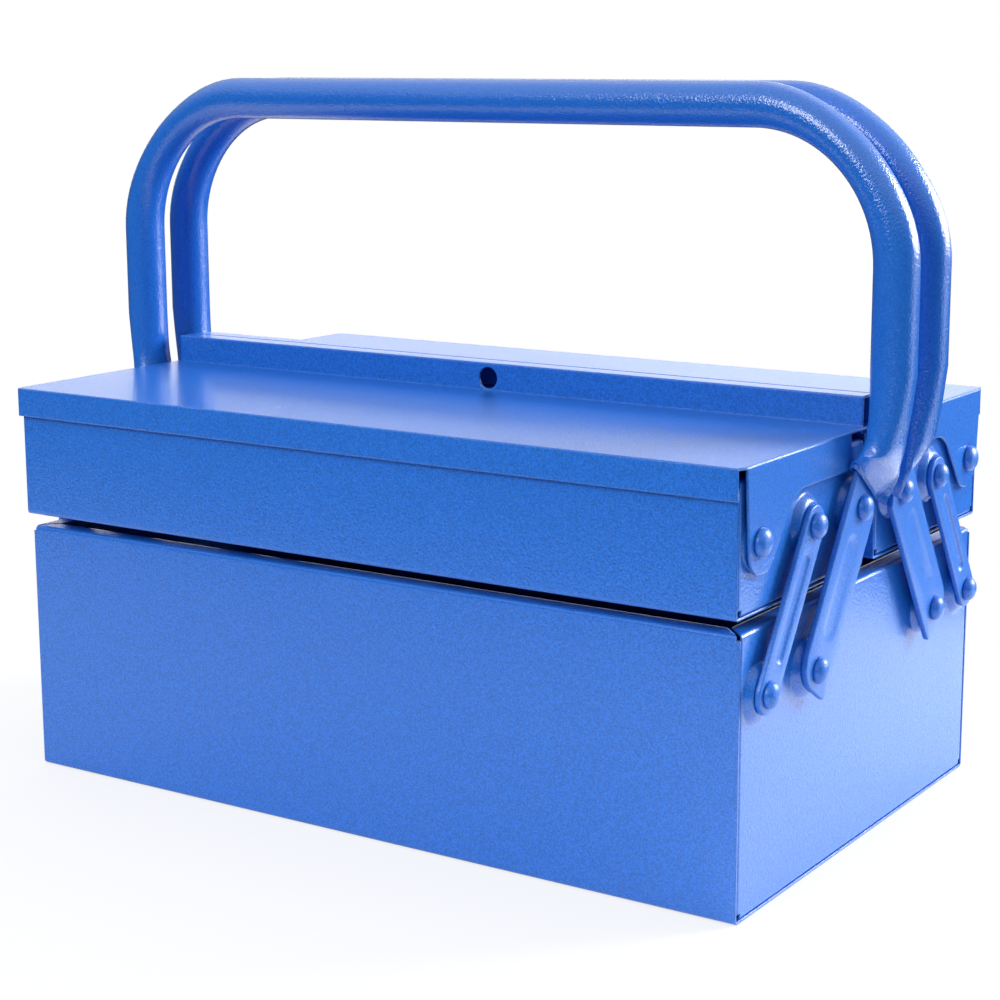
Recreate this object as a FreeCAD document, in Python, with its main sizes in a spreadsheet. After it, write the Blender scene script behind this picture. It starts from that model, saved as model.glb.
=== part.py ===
import FreeCAD, Part
import math
import os
import re
import Sketcher

# A cantilever tool box of painted sheet steel, with a base, two trays that swing out
# on parallel links, a hinged lid on each tray, and two tube handles that drive the links.
# X runs along the box, Y from front to back and Z up.
# The origin is the centre of the underside. Lengths are in millimetres.

SIZES = {
    # Sheet metal.
    "sheet": 0.8,
    "bend_radius": 1.4,
    "edge_radius": 0.6,
    "rim_width": 7.0,
    "tab_width": 8.0,
    "mitre_gap": 1.0,
    "mitre_depth": 2.0,
    "relief": 2.4,
    "overrun": 5.0,
    # Base.
    "box_length": 300.0,
    "base_width": 187.0,
    "base_height": 94.0,
    # Trays.
    "tray_lift": 4.8,
    "tray_overhang": 2.7,
    "tray_height": 43.4,
    "tray_split": 8.8,
    # Lids.
    "lid_gap": 3.8,
    "lid_seat_gap": 0.3,
    "lid_front_gap": 1.0,
    "lid_side_gap": 1.2,
    "lid_split": 1.0,
    "front_flange_depth": 10.4,
    "end_flange_depth": 12.8,
    "end_flange_start": 4.0,
    "front_flange_overhang": 0.6,
    "end_flange_stop": 20.0,
    "ear_depth": 35.3,
    "ear_width": 13.2,
    "ear_setback": 6.8,
    "ear_radius": 8.4,
    "ear_curve_radius": 13.0,
    "ear_slope_run": 17.6,
    "flange_corner_radius": 1.6,
    "ridge_offset": 8.2,
    "ridge_height": 10.2,
    "ridge_inset": 1.5,
    "padlock_hole": 8.0,
    "padlock_rise": 4.6,
    # Pivots of the parallel links.
    "arm_pivot_offset": 48.1,
    "pivot_spacing": 33.4,
    "lower_pivot_height": 73.1,
    "link_reach": 31.2,
    "link_rise": 48.2,
    "lid_pivot_setback": 11.8,
    "lid_pivot_drop": 24.1,
    # Pressed bosses round the pivots.
    "boss_gap": 0.2,
    "boss_radius": 7.4,
    "ear_boss_radius": 6.4,
    "boss_flare": 2.2,
    # Rivets.
    "shank_diameter": 5.0,
    "running_gap": 0.05,
    "loose_gap": 0.25,
    "face_gap": 0.1,
    "head_diameter": 8.8,
    "head_height": 3.3,
    "lid_head_diameter": 9.5,
    "tail_diameter": 8.0,
    "tail_height": 1.2,
    # Narrow links.
    "link_standoff": 2.6,
    "link_thickness": 1.8,
    "link_width": 13.2,
    "groove_width": 5.6,
    "groove_depth": 0.9,
    "groove_taper": 1.1,
    "groove_setback": 10.5,
    # Wide arms.
    "arm_standoff": 3.4,
    "arm_thickness": 2.0,
    "arm_width": 20.5,
    "arm_foot": 7.2,
    "arm_foot_radius": 9.0,
    "arm_tip_radius": 1.6,
    "band_width": 7.6,
    "band_depth": 0.6,
    "band_taper": 0.8,
    "band_setback": 12.0,
    "shoulder_rise": 1.5,
    "tongue_reach": 5.0,
    "tongue_taper": 1.0,
    "tongue_length": 4.5,
    # Handle tubes.
    "tube_diameter": 15.4,
    "tube_wall": 1.0,
    "handle_side_gap": 5.5,
    "handle_offset": 13.0,
    "handle_height": 252.4,
    "handle_bend": 52.0,
    "crush_height": 24.5,
    "crimp_width": 24.4,
    "crimp_neck": 21.6,
    "crimp_length": 5.0,
    "crimp_cut": 7.8,
    "crimp_offset": 3.5,
    "crimp_play": 0.05,
    "mouth_bulge": 3.4,
}

doc = FreeCAD.newDocument("CantileverToolBox")
sheet = doc.addObject("Spreadsheet::Sheet", "Sizes")
for row, (name, number) in enumerate(SIZES.items(), start=1):
    sheet.set(f"A{row}", name)
    sheet.set(f"B{row}", str(number))
    sheet.setAlias(f"B{row}", name)
doc.recompute()


def formula(text):
    """Point every size name in a formula at its cell of the sheet."""
    return re.sub(r"[a-z]\w*", lambda word: "Sizes." + word[0] if word[0] in SIZES else word[0], text)


def value(text):
    """The present value of a formula."""
    return float(sheet.evalExpression(formula(text)))


# Places that several pieces share, as formulas of the driving sizes.
END = "(box_length / 2)"
BASE_SIDE = "(base_width / 2)"
TRAY_FLOOR = "(base_height + tray_lift)"
TRAY_TOP = f"({TRAY_FLOOR} + tray_height)"
TRAY_OUTER = f"({BASE_SIDE} + tray_overhang)"
TRAY_INNER = "(tray_split / 2)"
LID_UNDER = f"({TRAY_TOP} + lid_gap)"
LID_TOP = f"({LID_UNDER} + sheet)"
LID_OUTER = f"({TRAY_OUTER} + lid_front_gap + sheet)"
LID_END = f"({END} + lid_side_gap + sheet)"
ARM_FACE = f"({END} + arm_standoff)"
LINK_FACE = f"({END} + link_standoff)"
LEG_X = f"({END} + handle_side_gap + tube_diameter / 2)"
SHANK = "(shank_diameter / 2)"

# Pivots of the front half, as distances to the front and up.
ARM_LOW = ("-arm_pivot_offset", "lower_pivot_height")
ARM_HIGH = ("(link_reach - arm_pivot_offset)", "(lower_pivot_height + link_rise)")
LINK_LOW = ("-(arm_pivot_offset + pivot_spacing)", "lower_pivot_height")
LINK_HIGH = ("(link_reach - arm_pivot_offset - pivot_spacing)", "(lower_pivot_height + link_rise)")
LID_HINGE = (f"(lid_pivot_setback - {TRAY_OUTER})", f"({LID_UNDER} - lid_pivot_drop)")


def new_body(label):
    """An empty body with its own label."""
    body = doc.addObject("PartDesign::Body", label)
    body.Label = label
    return body


def plane_sketch(body, role, offset=("0", "0", "0")):
    """A sketch on one of the body's origin planes, moved by three formulas in the plane's own axes."""
    sketch = body.newObject("Sketcher::SketchObject", body.Label + "_sketch")
    plane = next(item for item in body.Origin.OriginFeatures if item.Role == role)
    sketch.AttachmentSupport = (plane, [""])
    sketch.MapMode = "FlatFace"
    for axis, text in zip("xyz", offset):
        sketch.setExpression(f"AttachmentOffset.Base.{axis}", formula(text))
    return sketch


def bind(sketch, rows):
    """Tie coordinates of points to formulas; a row is a kind, a geometry, a point and a formula."""
    first = sketch.ConstraintCount
    sketch.addConstraint([
        Sketcher.Constraint(kind, -1, 1, geometry, point, value(text)) for kind, geometry, point, text in rows
    ])
    for number, row in enumerate(rows):
        sketch.setExpression(f"Constraints[{first + number}]", formula(row[3]))


def outline(sketch, corners):
    """A closed outline through corners that are pairs of formulas."""
    points = [FreeCAD.Vector(value(across), value(up), 0) for across, up in corners]
    first = sketch.GeometryCount
    count = len(points)
    sketch.addGeometry([Part.LineSegment(points[side], points[(side + 1) % count]) for side in range(count)])
    sketch.addConstraint([
        Sketcher.Constraint("Coincident", first + side, 2, first + (side + 1) % count, 1) for side in range(count)
    ])
    rows = []
    for side, (across, up) in enumerate(corners):
        rows += [("DistanceX", first + side, 1, across), ("DistanceY", first + side, 1, up)]
    bind(sketch, rows)


def circle(sketch, across, up, radius):
    """A circle at a place given by formulas."""
    centre = FreeCAD.Vector(value(across), value(up), 0)
    index = sketch.addGeometry(Part.Circle(centre, FreeCAD.Vector(0, 0, 1), value(radius)))
    bind(sketch, [("DistanceX", index, 3, across), ("DistanceY", index, 3, up)])
    ring = sketch.addConstraint(Sketcher.Constraint("Radius", index, value(radius)))
    sketch.setExpression(f"Constraints[{ring}]", formula(radius))


# Small round features are regular polygons, and these are their numbers of sides.
RIVET_SIDES = 8
BOSS_SIDES = 12
TUBE_SIDES = 12


def arc_corners(across, up, radius, sides, start, stop):
    """Corners of part of a regular polygon round a place, from one angle to another, as formulas."""
    steps = round(sides * (stop - start) / 360)
    turns = [start + (stop - start) * step / steps for step in range(steps + 1)]
    return [(f"{across} + ({radius}) * cos({turn})", f"{up} + ({radius}) * sin({turn})") for turn in turns]


def ring_corners(across, up, radius, sides):
    """Corners of a regular polygon round a place, as formulas."""
    return arc_corners(across, up, radius, sides, 0, 360)[:-1]


def capsule_corners(half_width, low, high, sides):
    """Corners of a strip with straight sides and round ends, between two centres on the vertical axis."""
    upper = arc_corners("0", high, half_width, sides, 0, 180)
    return upper + arc_corners("0", low, half_width, sides, 180, 360)


def hole_corners(across, up, radius):
    """Corners of a rivet hole whose flat sides clear the given radius."""
    return ring_corners(across, up, f"{radius} / cos(180 / {RIVET_SIDES})", RIVET_SIDES)


def extrude(body, kind, sketch, length, midplane=False, reverse=False):
    """A pad or a pocket of a length given by a formula."""
    feature = body.newObject("PartDesign::" + kind, body.Label + "_" + kind.lower())
    feature.Profile = sketch
    feature.setExpression("Length", formula(length))
    feature.Midplane = midplane
    feature.Reversed = reverse
    return feature


def loft(body, kind, stations):
    """An additive or subtractive loft through outlines across X, each given as its place and its corners."""
    sketches = []
    for place, corners in stations:
        sketch = plane_sketch(body, "YZ_Plane", ("0", "0", place))
        outline(sketch, corners)
        sketches.append(sketch)
    feature = body.newObject("PartDesign::" + kind, body.Label + "_" + kind.lower())
    feature.Profile = sketches[0]
    feature.Sections = sketches[1:]
    feature.Ruled = True
    return feature


def mirror_ends(body, features):
    """Repeat features of the right end at the left end."""
    feature = body.newObject("PartDesign::Mirrored", body.Label + "_mirrored")
    feature.Originals = features
    plane = next(item for item in body.Origin.OriginFeatures if item.Role == "YZ_Plane")
    feature.MirrorPlane = (plane, [""])
    body.Tip = feature
    return feature


# Two places closer than this are the same place, and corners this near a plane lie in it.
SAME_PLACE = 1e-4
FLAT_WITHIN = 1e-8


def matching_edges(shape, places):
    """Names of the edges whose ends lie at one of the places; a place leaves one coordinate open."""
    names = []
    for number, edge in enumerate(shape.Edges, start=1):
        for place in places:
            fixed = [(axis, value(text)) for axis, text in zip("xyz", place) if text is not None]
            ends = [vertex.Point for vertex in edge.Vertexes]
            if all(abs(getattr(point, axis) - number_at) < SAME_PLACE for point in ends for axis, number_at in fixed):
                names.append(f"Edge{number}")
    return names


def round_edges(body, places, radius):
    """Round the edges at the given places with one radius."""
    doc.recompute()
    base = body.Tip
    names = matching_edges(base.Shape, places)
    if not names:
        raise ValueError(f"{body.Label} has no edge at {places}")
    feature = body.newObject("PartDesign::Fillet", body.Label + "_fillet")
    feature.Base = (base, names)
    feature.setExpression("Radius", formula(radius))


def mirrored(label, source, normal):
    """A mirror image of a finished piece, through the middle of the box."""
    image = doc.addObject("Part::Mirroring", label)
    image.Label = label
    image.Source = source
    image.Normal = normal
    return image


LEFT_RIGHT = (1, 0, 0)
FRONT_REAR = (0, 1, 0)


def group(label, pieces):
    """Identical fasteners as one node of separate solids."""
    node = doc.addObject("Part::Compound", label)
    node.Label = label
    node.Links = pieces
    return node


def folded_shell(label, front, rear, floor, front_top, rear_top):
    """A folded sheet: a front wall, a floor and a rear wall, with rims turned inward.

    The rims are mitred at both ends, where they meet the rims of the end panels.
    """
    body = new_body(label)
    section = plane_sketch(body, "YZ_Plane")
    outline(section, [
        (f"{front} + rim_width", front_top), (front, front_top), (front, floor), (rear, floor),
        (rear, rear_top), (f"{rear} - rim_width", rear_top), (f"{rear} - rim_width", f"{rear_top} - sheet"),
        (f"{rear} - sheet", f"{rear_top} - sheet"), (f"{rear} - sheet", f"{floor} + sheet"),
        (f"{front} + sheet", f"{floor} + sheet"), (f"{front} + sheet", f"{front_top} - sheet"),
        (f"{front} + rim_width", f"{front_top} - sheet"),
    ])
    extrude(body, "Pad", section, "box_length", midplane=True)
    bends = [(None, front, front_top), (None, front, floor), (None, rear, floor), (None, rear, rear_top)]
    round_edges(body, bends, "bend_radius")
    for wall, inward, top in ((front, "+", front_top), (rear, "-", rear_top)):
        outward = "-" if inward == "+" else "+"
        for end in ("", "-"):
            mitre = plane_sketch(body, "XY_Plane", ("0", "0", top))
            rim_edge = f"{wall} {inward} (rim_width + overrun)"
            outline(mitre, [
                (f"{end}({END} - mitre_gap)", f"{wall} {outward} overrun"),
                (f"{end}({END} - mitre_gap)", wall),
                (f"{end}({END} - mitre_gap - rim_width - overrun)", rim_edge),
                (f"{end}({END} + overrun)", rim_edge),
                (f"{end}({END} + overrun)", f"{wall} {outward} overrun"),
            ])
            extrude(body, "Pocket", mitre, "mitre_depth")
    return body


def boss(body, pivot, height, radius):
    """A pressed boss of the right end wall: a dished pad with the rivet's hole in it."""
    foot = f"{radius} + boss_flare"
    loft(body, "AdditiveLoft", [
        (END, ring_corners(*pivot, foot, BOSS_SIDES)),
        (f"{END} + {height}", ring_corners(*pivot, radius, BOSS_SIDES)),
    ])
    loft(body, "SubtractiveLoft", [
        (f"{END} - sheet", ring_corners(*pivot, f"{foot} - sheet", BOSS_SIDES)),
        (f"{END} + {height} - sheet", ring_corners(*pivot, f"{radius} - sheet", BOSS_SIDES)),
    ])
    hole = plane_sketch(body, "YZ_Plane", ("0", "0", f"{END} + {height}"))
    outline(hole, hole_corners(*pivot, SHANK + " + running_gap"))
    extrude(body, "Pocket", hole, "2 * sheet")


def end_panel(label, front, rear, floor, top, bosses):
    """The right end panel: a wall with tabs tucked inside the shell and a rim turned inward."""
    body = new_body(label)
    near = f"({front} + sheet)"
    far = f"({rear} - sheet)"
    bottom = f"({floor} + sheet)"
    section = plane_sketch(body, "XZ_Plane", ("0", "0", f"-{far}"))
    outline(section, [
        (f"{END} - rim_width", top), (END, top), (END, bottom), (f"{END} - tab_width", bottom),
        (f"{END} - tab_width", f"{bottom} + sheet"), (f"{END} - sheet", f"{bottom} + sheet"),
        (f"{END} - sheet", f"{top} - sheet"), (f"{END} - rim_width", f"{top} - sheet"),
    ])
    extrude(body, "Pad", section, f"{far} - {near}")
    for side, inward in ((near, "+"), (far, "-")):
        tab = plane_sketch(body, "XY_Plane", ("0", "0", f"{bottom} + sheet"))
        outline(tab, [
            (f"{END} - tab_width", side), (END, side),
            (END, f"{side} {inward} sheet"), (f"{END} - tab_width", f"{side} {inward} sheet"),
        ])
        extrude(body, "Pad", tab, f"{top} - {bottom} - 2 * sheet")
    upright = [(END, near, None), (END, far, None)]
    level = [(END, None, bottom), (END, None, top)]
    round_edges(body, upright + level, "bend_radius")
    for side, outward in ((near, "-"), (far, "+")):
        inward = "+" if outward == "-" else "-"
        notch = plane_sketch(body, "YZ_Plane", ("0", "0", END))
        outline(notch, [
            (f"{side} {outward} overrun", f"{bottom} - overrun"), (f"{side} {inward} relief", f"{bottom} - overrun"),
            (f"{side} {inward} relief", f"{bottom} + relief"), (f"{side} {outward} overrun", f"{bottom} + relief"),
        ])
        extrude(body, "Pocket", notch, "tab_width + overrun")
    for wall, inward in ((front, "+"), (rear, "-")):
        outward = "-" if inward == "+" else "+"
        mitre = plane_sketch(body, "XY_Plane", ("0", "0", top))
        outline(mitre, [
            (f"{END} + overrun", f"{wall} {outward} overrun"),
            (f"{END} + overrun", f"{wall} {inward} mitre_gap"),
            (END, f"{wall} {inward} mitre_gap"),
            (f"{END} - rim_width - overrun", f"{wall} {inward} (mitre_gap + rim_width + overrun)"),
            (f"{END} - rim_width - overrun", f"{wall} {outward} overrun"),
        ])
        extrude(body, "Pocket", mitre, "mitre_depth")
    for pivot, height, radius in bosses:
        boss(body, pivot, height, radius)
    return body


# A rivet's dome, as shares of its height and of its radius.
DOME_SHARES = ((0, 1), (0.55, 0.8), (1, 0.35))


def rivet(label, pivot, back, face, head):
    """A dome-headed rivet along X: back is the wall's inner face, face the outer face it holds."""
    body = new_body(label)
    under_head = f"{face} + face_gap"
    for place, radius, length in (
        (f"{back} - tail_height", "tail_diameter / 2", "tail_height"), (back, SHANK, f"{under_head} - ({back})"),
    ):
        disc = plane_sketch(body, "YZ_Plane", ("0", "0", place))
        outline(disc, ring_corners(*pivot, radius, RIVET_SIDES))
        extrude(body, "Pad", disc, length)
    loft(body, "AdditiveLoft", [
        (
            f"{under_head} + head_height * {rise_share}",
            ring_corners(*pivot, f"{head} / 2 * {radius_share}", RIVET_SIDES),
        )
        for rise_share, radius_share in DOME_SHARES
    ])
    return body


def front_lid():
    """The front lid: one folded sheet with its flanges, hinge ears and half of the locking ridge."""
    body = new_body("front_lid")
    plate = plane_sketch(body, "YZ_Plane")
    flange_edge = f"({LID_TOP} - front_flange_depth)"
    outline(plate, [
        (f"-{LID_OUTER}", flange_edge), (f"-{LID_OUTER}", LID_TOP), ("-(ridge_offset - sheet)", LID_TOP),
        ("-(ridge_offset - sheet)", LID_UNDER), (f"-({LID_OUTER} - sheet)", LID_UNDER),
        (f"-({LID_OUTER} - sheet)", flange_edge),
    ])
    extrude(body, "Pad", plate, f"2 * {LID_END}", midplane=True)
    corner = plane_sketch(body, "XY_Plane", ("0", "0", f"{LID_TOP} + overrun"))
    flange_end = f"({END} + front_flange_overhang)"
    ahead = f"-({LID_OUTER} + overrun)"
    outline(corner, [
        (flange_end, ahead), (f"{LID_END} + overrun", ahead),
        (f"{LID_END} + overrun", f"-({LID_OUTER} - end_flange_start)"),
        (LID_END, f"-({LID_OUTER} - end_flange_start)"), (flange_end, f"-({LID_OUTER} - sheet)"),
    ])
    mirror_ends(body, [extrude(body, "Pocket", corner, "front_flange_depth + 2 * overrun")])
    crest = f"({LID_TOP} + ridge_height)"
    ridge = plane_sketch(body, "YZ_Plane")
    outline(ridge, [
        ("-ridge_offset", LID_UNDER), ("-ridge_offset", crest), ("-lid_split / 2", crest),
        ("-lid_split / 2", f"{crest} - sheet"), ("-(ridge_offset - sheet)", f"{crest} - sheet"),
        ("-(ridge_offset - sheet)", LID_UNDER),
    ])
    extrude(body, "Pad", ridge, f"2 * ({LID_END} - ridge_inset)", midplane=True)
    flange = plane_sketch(body, "YZ_Plane", ("0", "0", f"{LID_END} - sheet"))
    lower_edge = f"({LID_TOP} - end_flange_depth)"
    ear_bottom = f"({LID_TOP} - ear_depth)"
    ear_front = f"({LID_OUTER} - ear_setback)"
    ear_rear = f"({ear_front} - ear_width)"
    outline(flange, [
        (f"-({LID_OUTER} - end_flange_start)", LID_TOP), ("-end_flange_stop", LID_TOP),
        ("-end_flange_stop", lower_edge), (f"-({ear_rear} - ear_slope_run)", lower_edge),
        (f"-{ear_rear}", ear_bottom), (f"-{ear_front}", ear_bottom),
    ])
    pad = extrude(body, "Pad", flange, "sheet")
    mirror_ends(body, [pad])
    round_edges(body, [(None, f"-{ear_rear}", ear_bottom), (None, f"-{ear_front}", ear_bottom)], "ear_radius")
    round_edges(body, [(None, f"-({ear_rear} - ear_slope_run)", lower_edge)], "ear_curve_radius")
    round_edges(body, [(None, "-end_flange_stop", lower_edge)], "flange_corner_radius")
    holes = plane_sketch(body, "YZ_Plane", ("0", "0", f"{LID_END} + overrun"))
    circle(holes, *LID_HINGE, SHANK + " + running_gap")
    extrude(body, "Pocket", holes, f"2 * ({LID_END} + overrun)")
    lock = plane_sketch(body, "XZ_Plane", ("0", "0", "overrun"))
    circle(lock, "0", f"{LID_TOP} + padlock_rise", "padlock_hole / 2")
    extrude(body, "Pocket", lock, "ridge_offset + overrun", reverse=True)
    top_edges = [(None, f"-{LID_OUTER}", LID_TOP), (LID_END, None, LID_TOP), (f"-{LID_END}", None, LID_TOP)]
    crest_edge = (None, "-ridge_offset", crest)
    round_edges(body, top_edges + [crest_edge], "edge_radius")
    return body


# The parallel links lean by this angle from upright, and their pivots are this far apart.
LEAN = "atan(link_reach / link_rise)"
SPAN = f"(link_rise / cos({LEAN}))"


def lean(body, pivot, face):
    """Set a piece that is modelled upright over its lower pivot along the parallel links."""
    body.Placement.Rotation = FreeCAD.Rotation(FreeCAD.Vector(-1, 0, 0), value(LEAN))
    body.setExpression("Placement.Rotation.Angle", formula(LEAN))
    for axis, text in zip("xyz", (face, *pivot)):
        body.setExpression(f"Placement.Base.{axis}", formula(text))


def pivot_hole(body, height, radius, thickness):
    """A rivet hole through a link at one height."""
    hole = plane_sketch(body, "YZ_Plane", ("0", "0", thickness))
    circle(hole, "0", height, radius)
    extrude(body, "Pocket", hole, thickness)


def pressed_groove(body, thickness, width, depth, taper, setback):
    """A groove pressed into a link's outer face, with round ends that stop short of both rivets."""
    lip = capsule_corners(f"{width} / 2", setback, f"{SPAN} - {setback}", RIVET_SIDES)
    bottom = capsule_corners(f"({width} / 2 - {taper})", setback, f"{SPAN} - {setback}", RIVET_SIDES)
    loft(body, "SubtractiveLoft", [(thickness, lip), (f"{thickness} - {depth}", bottom)])


def narrow_link():
    """The front right narrow link: round ends, a pressed groove and two rivet holes."""
    body = new_body("front_link_right")
    blank = plane_sketch(body, "YZ_Plane")
    outline(blank, capsule_corners("link_width / 2", "0", SPAN, BOSS_SIDES))
    extrude(body, "Pad", blank, "link_thickness")
    pressed_groove(body, "link_thickness", "groove_width", "groove_depth", "groove_taper", "groove_setback")
    pivot_hole(body, "0", SHANK + " + running_gap", "link_thickness")
    pivot_hole(body, SPAN, SHANK + " + loose_gap", "link_thickness")
    lean(body, LINK_LOW, LINK_FACE)
    return body


def wide_arm():
    """The front right wide arm: a lopsided foot, a shallow pressed band and a tongue for the tube's crimp."""
    body = new_body("front_arm_right")
    blank = plane_sketch(body, "YZ_Plane")
    half = "(arm_width / 2)"
    cut = f"({SPAN} + crimp_cut)"
    outline(blank, [
        (f"-{half}", "-arm_foot"), (half, "-arm_foot"), (half, f"{SPAN} + shoulder_rise"),
        ("tongue_reach", cut), ("tongue_reach - tongue_taper", f"{cut} + tongue_length"),
        (f"-{half}", f"{cut} + tongue_length"),
    ])
    extrude(body, "Pad", blank, "arm_thickness")
    round_edges(body, [(None, f"-{half}", "-arm_foot")], "arm_foot_radius")
    round_edges(body, [(None, half, "-arm_foot"), (None, half, f"{SPAN} + shoulder_rise")], "arm_tip_radius")
    pressed_groove(body, "arm_thickness", "band_width", "band_depth", "band_taper", "band_setback")
    pivot_hole(body, "0", SHANK + " + running_gap", "arm_thickness")
    pivot_hole(body, SPAN, SHANK + " + running_gap", "arm_thickness")
    lean(body, ARM_LOW, ARM_FACE)
    return body


def smooth(share):
    """A share from 0 to 1 eased at both ends."""
    return share * share * (3 - 2 * share)


def between(start, end, share):
    """The number or vector at a share of the way from start to end."""
    return start + (end - start) * share


# The crushed end has sections at these shares of its way down, whose ends lead straight for a share of it.
CRUSH_SHARES = (1.0, 0.75, 0.5, 0.25, 0.0)
LEAD_SHARE = 0.33
# A section's corners follow a power curve, which is round at 2 and nearly a rectangle at 7.
ROUND_POWER = 2.0
FLAT_POWER = 7.0
BEND_STEPS = 7


def tube_ring(centre, across, outward, half_width, half_depth, power, bulge=0):
    """Corners of a polygon across the tube, with a bulge where the width and the depth are both positive."""
    corners = []
    for number in range(TUBE_SIDES):
        angle = 2 * math.pi * number / TUBE_SIDES
        wide = math.copysign(abs(math.cos(angle)) ** (2 / power), math.cos(angle))
        deep = math.copysign(abs(math.sin(angle)) ** (2 / power), math.sin(angle))
        lift = bulge * max(0, wide) * max(0, deep)
        corners.append(centre + across * (half_width * wide) + outward * (half_depth * deep + lift))
    return corners


def closed_wire(corners):
    """A closed polygon."""
    return Part.makePolygon(corners + corners[:1])


def skin_faces(rings):
    """The flat sides between rings with equal numbers of corners, where a twisted side is two triangles."""
    outlines = []
    for low, high in zip(rings, rings[1:]):
        for number in range(len(low)):
            after = (number + 1) % len(low)
            side = [low[number], low[after], high[after], high[number]]
            normal = (side[1] - side[0]).cross(side[2] - side[0]).normalize()
            twisted = abs((side[3] - side[0]).dot(normal)) > FLAT_WITHIN
            outlines += [side[:3], side[2:] + side[:1]] if twisted else [side]
    return [Part.Face(closed_wire(corners)) for corners in outlines]


def crushed_rings(inset):
    """Rings of the right end, from the flat mouth on the arm's tongue up to where the leg is round."""
    radius = value("tube_diameter / 2") - inset
    outward = FreeCAD.Vector(1, 0, 0)
    lean_angle = math.radians(value(LEAN))
    along = FreeCAD.Vector(0, math.sin(lean_angle), math.cos(lean_angle))
    across = FreeCAD.Vector(0, math.cos(lean_angle), -math.sin(lean_angle))
    arm_middle = value(f"{ARM_FACE} + arm_thickness / 2")
    pivot = FreeCAD.Vector(arm_middle, value(ARM_HIGH[0]), value(ARM_HIGH[1]))
    cut = pivot + along * value("crimp_cut") - across * value("crimp_offset")
    neck = cut + along * value("crimp_length")
    top = FreeCAD.Vector(value(LEG_X), -value("handle_offset"), value(f"{ARM_HIGH[1]} + crush_height"))
    flat_depth = value("arm_thickness / 2 + crimp_play + tube_wall") - inset
    mouth_width = value("crimp_width / 2") - inset
    rings = [tube_ring(cut, across, outward, mouth_width, flat_depth, FLAT_POWER, value("mouth_bulge"))]
    reach = (top - neck).Length * LEAD_SHARE
    path = Part.BezierCurve()
    path.setPoles([top, top - FreeCAD.Vector(0, 0, reach), neck + along * reach, neck])
    for share in CRUSH_SHARES:
        ease = smooth(share)
        tilt = lean_angle * share
        side = FreeCAD.Vector(0, math.cos(tilt), -math.sin(tilt))
        half_width = between(radius, value("crimp_neck / 2") - inset, ease)
        half_depth = between(radius, flat_depth, ease)
        power = between(ROUND_POWER, FLAT_POWER, ease)
        rings.append(tube_ring(path.value(share), side, outward, half_width, half_depth, power))
    return rings


def bend_rings(inset):
    """Rings round the right bend, from the top of the leg to the end of the grip."""
    radius = value("tube_diameter / 2") - inset
    bend = value("handle_bend")
    rear = FreeCAD.Vector(0, 1, 0)
    centre = FreeCAD.Vector(value(LEG_X) - bend, -value("handle_offset"), value("handle_height") - bend)
    rings = []
    for step in range(BEND_STEPS + 1):
        angle = math.pi / 2 * step / BEND_STEPS
        outward = FreeCAD.Vector(math.cos(angle), 0, math.sin(angle))
        rings.append(tube_ring(centre + outward * bend, rear, outward, radius, radius, ROUND_POWER))
    return rings


def handle_tube():
    """The front handle: a bent tube whose two ends are crushed over the arms."""
    faces = []
    mouths = []
    for inset in (0, value("tube_wall")):
        right = crushed_rings(inset) + bend_rings(inset)
        left = [[FreeCAD.Vector(-corner.x, corner.y, corner.z) for corner in ring] for ring in reversed(right)]
        faces += skin_faces(right + left)
        mouths.append((closed_wire(right[0]), closed_wire(left[-1])))
    for outer, inner in zip(*mouths):
        faces.append(Part.makeFace([outer, inner], "Part::FaceMakerBullseye"))
    shell = Part.Shell(faces)
    shell.sewShape()
    solid = Part.Solid(shell)
    if solid.Volume < 0:
        solid.reverse()
    tube = doc.addObject("Part::Feature", "front_handle_tube")
    tube.Label = "front_handle_tube"
    tube.Shape = solid
    return tube


def base_nodes():
    """The base: its shell, two end panels, and the rivets that the arms and links turn on."""
    arm_height = "(arm_standoff - boss_gap)"
    link_height = "(link_standoff - boss_gap)"
    shell = folded_shell("base_shell", f"(-{BASE_SIDE})", BASE_SIDE, "0", "base_height", "base_height")
    bosses = []
    for side in ("", "-"):
        bosses.append(((f"{side}({ARM_LOW[0]})", ARM_LOW[1]), arm_height, "boss_radius"))
        bosses.append(((f"{side}({LINK_LOW[0]})", LINK_LOW[1]), link_height, "boss_radius"))
    right = end_panel("base_right_end", f"(-{BASE_SIDE})", BASE_SIDE, "0", "base_height", bosses)
    left = mirrored("base_left_end", right, LEFT_RIGHT)
    nodes = [shell, right, left]
    for label, pivot, height, face in (
        ("base_arm_rivets", ARM_LOW, arm_height, f"{ARM_FACE} + arm_thickness"),
        ("base_link_rivets", LINK_LOW, link_height, f"{LINK_FACE} + link_thickness"),
    ):
        first = rivet(label + "_front_right", pivot, f"{END} + {height} - sheet", face, "head_diameter")
        second = mirrored(label + "_front_left", first, LEFT_RIGHT)
        third = mirrored(label + "_rear_right", first, FRONT_REAR)
        fourth = mirrored(label + "_rear_left", second, FRONT_REAR)
        nodes.append(group(label, [first, second, third, fourth]))
    return nodes


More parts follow.
